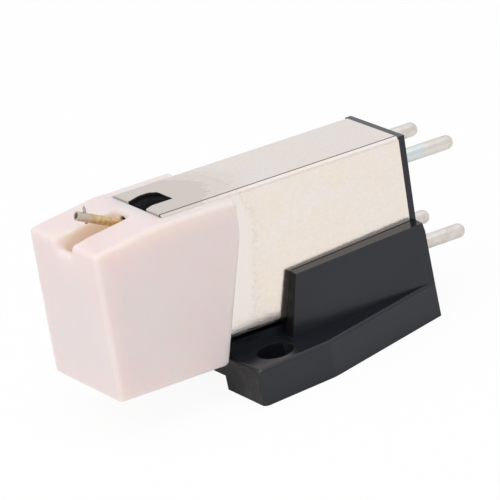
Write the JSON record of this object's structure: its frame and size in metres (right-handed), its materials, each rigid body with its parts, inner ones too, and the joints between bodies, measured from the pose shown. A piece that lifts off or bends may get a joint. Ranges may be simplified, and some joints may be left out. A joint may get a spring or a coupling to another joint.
{
  "type": "phono cartridge with stylus",
  "caption": "Half-inch-mount moving-magnet phono cartridge: black base, metal can, rear terminal pins and a pull-off pale pink stylus cap with a sprung cantilever.",
  "frame": {"origin": "midway between the two mounting holes, on the mounting face", "axes": "+X to the terminal pins, -X to the stylus, +Z away from the mounting face to the stylus side"},
  "size_m": [0.0355, 0.0174, 0.0182],
  "materials": {
    "black_plastic": "satin moulded black plastic",
    "nickel_sheet": "satin nickel-plated steel sheet",
    "pink_plastic": "smooth translucent pale pink plastic",
    "tinned_pin": "dull tinned brass",
    "pole_alloy": "bright soft magnetic alloy",
    "bobbin_plastic": "natural moulded plastic",
    "winding": "enamelled copper wire",
    "sleeve_brass": "turned brass",
    "damper_rubber": "soft black rubber",
    "spring_wire": "drawn spring steel",
    "magnet": "ground magnet alloy",
    "cantilever_alloy": "drawn aluminium, gold tinted",
    "stylus_point": "ground shank with diamond point"
  },
  "bodies": {
    "cartridge": {"mount_base": "black_plastic", "shield_can": "nickel_sheet", "terminal_plate": "black_plastic", "coil_housing": "black_plastic", "pin_left_upper": "tinned_pin", "pole_left_upper": "pole_alloy", "bobbin_left_upper": "bobbin_plastic", "coil_left_upper": "winding", "pin_left_lower": "tinned_pin", "pole_left_lower": "pole_alloy", "bobbin_left_lower": "bobbin_plastic", "coil_left_lower": "winding", "pin_right_upper": "tinned_pin", "pole_right_upper": "pole_alloy", "bobbin_right_upper": "bobbin_plastic", "coil_right_upper": "winding", "pin_right_lower": "tinned_pin", "pole_right_lower": "pole_alloy", "bobbin_right_lower": "bobbin_plastic", "coil_right_lower": "winding", "yoke_left": "pole_alloy", "yoke_right": "pole_alloy"},
    "stylus": {"stylus_cap": "pink_plastic", "stylus_sleeve": "sleeve_brass", "sleeve_plug": "sleeve_brass"},
    "damper": {"damper_ring": "damper_rubber"},
    "cantilever": {"cantilever_tube": "cantilever_alloy", "stylus_tip": "stylus_point", "magnet_rod": "magnet", "tie_wire": "spring_wire"}
  },
  "joints": [
    {"name": "stylus_pull", "type": "slide", "parent": "cartridge", "child": "stylus", "axis": [-0.9982, 0, 0.0593], "range_m": [0, 0.012]},
    {"name": "cantilever_sway", "type": "hinge", "parent": "stylus", "child": "damper", "pos_m": [-0.00499, 0, 0.01405], "axis": [0.4848, 0, 0.8746], "range_deg": [-2.5, 2.5], "stiffness_Nm_per_rad": 0.0055},
    {"name": "cantilever_lift", "type": "hinge", "parent": "damper", "child": "cantilever", "pos_m": [-0.00499, 0, 0.01405], "axis": [0, 1, 0], "range_deg": [-2.5, 2.5], "stiffness_Nm_per_rad": 0.0055}
  ]
}
